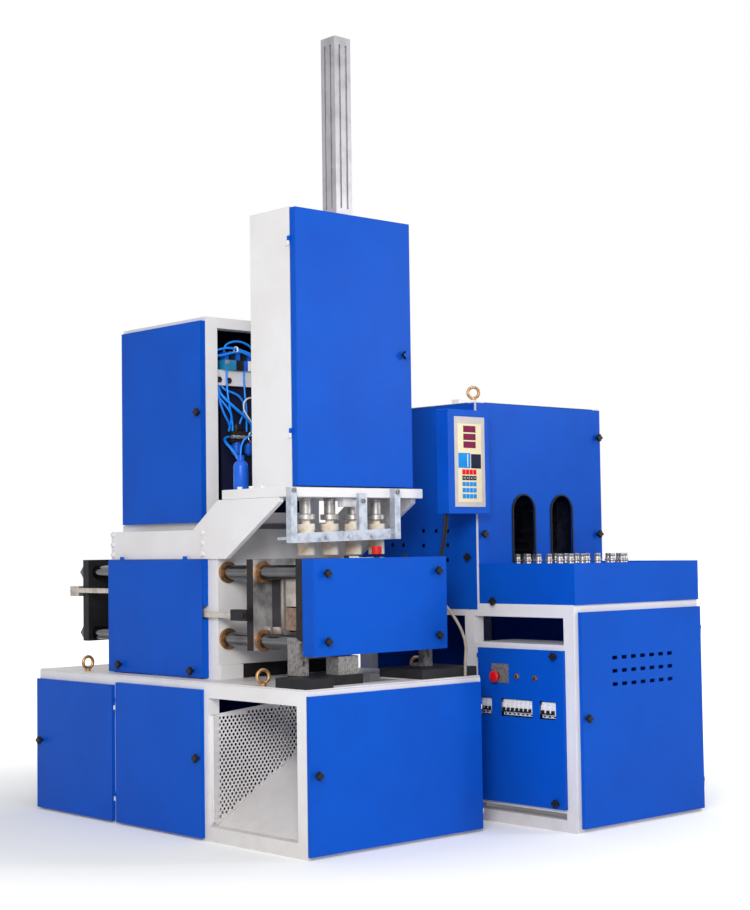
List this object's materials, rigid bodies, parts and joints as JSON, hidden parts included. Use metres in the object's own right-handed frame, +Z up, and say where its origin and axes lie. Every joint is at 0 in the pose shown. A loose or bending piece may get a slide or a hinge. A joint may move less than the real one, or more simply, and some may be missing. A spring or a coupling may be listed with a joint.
{
  "type": "blow moulding machine",
  "caption": "Stretch blow moulding machine: horizontal rack-synchronised clamp on a base cabinet, tall blow unit, valve cabinet, and a preform heating oven with a chuck chain.",
  "frame": {"origin": "on the floor under the middle of the clamp unit's base cabinet", "axes": "+X from the clamp unit towards the oven, +Y from the front to the back, +Z up"},
  "size_m": [1.614, 1.854, 2.637],
  "materials": {
    "blue_paint": "satin powder coat",
    "white_paint": "satin paint, lightly used",
    "black_steel": "satin black",
    "steel": "machined",
    "aluminium": "brushed",
    "chrome": "ground and plated",
    "bronze": "turned bronze",
    "nylon": "turned nylon",
    "black_plastic": "moulded",
    "rubber": "matt",
    "red_plastic": "gloss",
    "grey_plastic": "matt",
    "fascia_film": "printed membrane",
    "hose_blue": "polyurethane tube",
    "heater_steel": "reflector sheet"
  },
  "bodies": {
    "machine": {"base_frame": "white_paint", "base_deck": "white_paint", "base_panels": "blue_paint", "bottle_chute": "white_paint", "chute_screen": "white_paint", "slide_pads": "black_steel", "lifting_eyes": "bronze", "support_plates": "white_paint", "guide_bushes": "bronze", "gusset_arms": "white_paint", "rack_guide": "steel", "clamp_cover": "blue_paint", "nozzle_plate": "white_paint", "blow_nozzles": "steel", "guide_bracket": "aluminium", "tall_cabinet": "white_paint", "stretch_cylinder": "aluminium", "valve_cabinet": "white_paint", "valve_gear": "aluminium", "air_hoses": "hose_blue", "structure_bolts": "steel", "cover_knobs": "black_plastic", "oven_frame": "white_paint", "oven_panels": "blue_paint", "electrics_box": "white_paint", "breakers": "grey_plastic", "preform_tray": "blue_paint", "preform_chucks": "steel", "oven_housing": "blue_paint", "oven_front_panel": "blue_paint", "arch_trims": "rubber", "heating_lamps": "heater_steel", "control_box": "blue_paint", "control_panel": "fascia_film", "control_cable": "rubber"},
    "clamp_frame": {"front_platen": "steel", "tie_bars": "chrome", "rear_plate": "black_steel", "front_cover": "blue_paint", "front_mould": "aluminium", "clamp_cylinder": "aluminium", "rear_rack": "steel"},
    "moving_platen": {"moving_platen": "black_steel", "platen_bushes": "bronze", "rear_mould": "aluminium", "front_rack": "steel", "clamp_rod": "chrome"},
    "sync_pinion": {"sync_pinion": "steel"},
    "seal_heads": {"seal_heads": "nylon"},
    "stretch_carriage": {"stretch_carriage": "steel"},
    "base_front_door": {"base_front_door": "blue_paint"},
    "base_side_door_front": {"base_side_door_front": "blue_paint"},
    "base_side_door_rear": {"base_side_door_rear": "blue_paint"},
    "tall_cabinet_door": {"tall_cabinet_door": "blue_paint"},
    "valve_cabinet_door": {"valve_cabinet_door": "blue_paint"},
    "oven_front_door": {"oven_front_door": "blue_paint"},
    "electrics_door": {"electrics_door": "blue_paint"},
    "estop_button": {"estop_button": "red_plastic"},
    "toggle_a": {"toggle_a": "steel"},
    "toggle_b": {"toggle_b": "steel"}
  },
  "joints": [
    {"name": "clamp_close", "type": "slide", "parent": "machine", "child": "clamp_frame", "axis": [0, 1, 0], "range_m": [0, 0.0459]},
    {"name": "platen_advance", "type": "slide", "parent": "machine", "child": "moving_platen", "axis": [0, 1, 0], "range_m": [-0.0459, 0]},
    {"name": "pinion_turn", "type": "hinge", "parent": "machine", "child": "sync_pinion", "pos_m": [-0.298, 0.115, 0.76], "axis": [1, 0, 0], "range_deg": [-110, 0]},
    {"name": "seal_stroke", "type": "slide", "parent": "machine", "child": "seal_heads", "axis": [0, 0, 1], "range_m": [-0.02, 0]},
    {"name": "stretch_stroke", "type": "slide", "parent": "machine", "child": "stretch_carriage", "axis": [0, 0, 1], "range_m": [-0.215, 0]},
    {"name": "base_front_door_hinge", "type": "hinge", "parent": "machine", "child": "base_front_door", "pos_m": [0.37, -0.7715, 0.25], "axis": [0, 0, 1], "range_deg": [0, 110]},
    {"name": "base_side_door_front_hinge", "type": "hinge", "parent": "machine", "child": "base_side_door_front", "pos_m": [-0.3815, 0.2525, 0.25], "axis": [0, 0, 1], "range_deg": [-95, 0]},
    {"name": "base_side_door_rear_hinge", "type": "hinge", "parent": "machine", "child": "base_side_door_rear", "pos_m": [-0.3815, 0.2635, 0.25], "axis": [0, 0, 1], "range_deg": [0, 95]},
    {"name": "tall_cabinet_door_hinge", "type": "hinge", "parent": "machine", "child": "tall_cabinet_door", "pos_m": [-0.256, -0.5585, 1.6], "axis": [0, 0, 1], "range_deg": [-110, 0]},
    {"name": "valve_cabinet_door_hinge", "type": "hinge", "parent": "machine", "child": "valve_cabinet_door", "pos_m": [-0.2545, 0.382, 1.37], "axis": [0, 0, 1], "range_deg": [-110, 0]},
    {"name": "oven_front_door_hinge", "type": "hinge", "parent": "machine", "child": "oven_front_door", "pos_m": [1.1955, -1.046, 0.37], "axis": [0, 0, 1], "range_deg": [0, 110]},
    {"name": "electrics_door_hinge", "type": "hinge", "parent": "machine", "child": "electrics_door", "pos_m": [0.53, -0.605, 0.33], "axis": [0, 0, 1], "range_deg": [-30, 0]},
    {"name": "estop_push", "type": "slide", "parent": "electrics_door", "child": "estop_button", "axis": [1, 0, 0], "range_m": [0, 0.005], "stiffness_N_per_m": 500},
    {"name": "toggle_a_flip", "type": "hinge", "parent": "electrics_door", "child": "toggle_a", "pos_m": [0.522, -0.796, 0.499], "axis": [0, 1, 0], "range_deg": [-15, 15]},
    {"name": "toggle_b_flip", "type": "hinge", "parent": "electrics_door", "child": "toggle_b", "pos_m": [0.522, -0.878, 0.496], "axis": [0, 1, 0], "range_deg": [-15, 15]}
  ],
  "couplings": [
    {"joint": "platen_advance", "follows": "clamp_close", "ratio": -1},
    {"joint": "pinion_turn", "follows": "clamp_close", "rad_per_m": -41.667}
  ]
}
